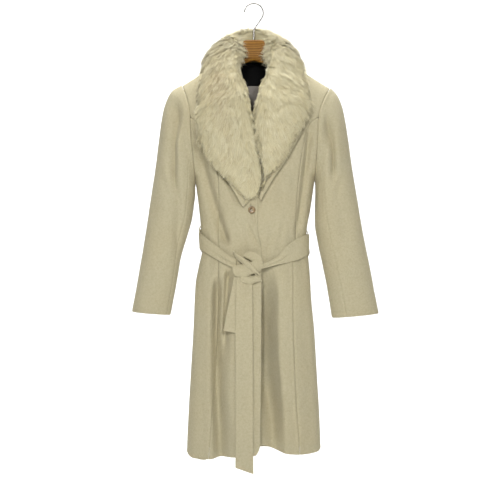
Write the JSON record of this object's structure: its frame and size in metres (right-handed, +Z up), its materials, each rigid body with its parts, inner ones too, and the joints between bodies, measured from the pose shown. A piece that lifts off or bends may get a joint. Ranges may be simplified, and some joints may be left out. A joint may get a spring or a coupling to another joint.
{
  "type": "long coat on hanger",
  "caption": "Knee-length belted wool coat with a fur shawl collar, hung on a plain wooden hanger with a metal hook.",
  "frame": {"origin": "inside top of the hanger's hook, where it rests on a rail", "axes": "+Z up, the coat's front faces -Y, +X to the viewer's right"},
  "size_m": [0.6728, 0.2174, 1.276],
  "materials": {
    "wool_cloth": "soft napped wool, cream beige",
    "fur": "long soft fur, pale yellowish cream",
    "lining": "smooth satin lining, grey brown",
    "label": "matt woven, blank",
    "horn_button": "mottled horn",
    "hanger_wood": "clear lacquer",
    "hook_chrome": "polished"
  },
  "bodies": {
    "root": {"front_over": "wool_cloth", "front_over_side": "wool_cloth", "front_under": "wool_cloth", "front_under_side": "wool_cloth", "back_left": "wool_cloth", "back_right": "wool_cloth", "sleeve_left_top": "wool_cloth", "sleeve_left_under": "wool_cloth", "sleeve_right_top": "wool_cloth", "sleeve_right_top_low": "wool_cloth", "sleeve_right_under": "wool_cloth", "lapel_left": "wool_cloth", "lapel_right": "wool_cloth", "belt_left_strand": "wool_cloth", "belt_right_strand": "wool_cloth", "belt_back": "wool_cloth", "belt_knot": "wool_cloth", "belt_tail_long": "wool_cloth", "belt_tail_short": "wool_cloth", "belt_loop_left": "wool_cloth", "belt_loop_right": "wool_cloth", "fur_collar_left": "fur", "fur_collar_right": "fur", "back_neck_lining": "lining", "neck_label": "label", "button": "horn_button", "hanger_wood": "hanger_wood", "hook": "hook_chrome"}
  },
  "joints": []
}
